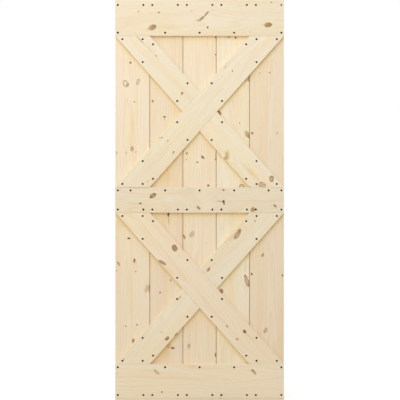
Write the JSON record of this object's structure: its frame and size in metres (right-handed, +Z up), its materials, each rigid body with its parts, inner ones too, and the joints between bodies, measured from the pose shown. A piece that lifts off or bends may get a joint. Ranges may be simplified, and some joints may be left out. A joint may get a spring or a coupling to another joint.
{
  "type": "sliding barn door",
  "caption": "Pine barn-door slab for a sliding track: upright tongue-and-groove boards with screwed-on front rails and two X braces.",
  "frame": {"origin": "middle of the front face of the top rail, where the strap hangers of a sliding track are bolted on", "axes": "+X to the right as seen from the front, +Y into the door from front to back, +Z up"},
  "size_m": [0.9, 0.035, 2.134],
  "materials": {
    "pine_boards": "sanded, unfinished",
    "pine_frame": "sanded, unfinished",
    "screw_black": "black phosphate"
  },
  "bodies": {
    "root": {"left_board": "pine_boards", "left_inner_board": "pine_boards", "centre_board": "pine_boards", "right_inner_board": "pine_boards", "right_board": "pine_boards", "top_rail": "pine_frame", "middle_rail": "pine_frame", "bottom_rail": "pine_frame", "upper_long_brace": "pine_frame", "upper_left_short_brace": "pine_frame", "upper_right_short_brace": "pine_frame", "lower_long_brace": "pine_frame", "lower_right_short_brace": "pine_frame", "lower_left_short_brace": "pine_frame"}
  },
  "joints": []
}
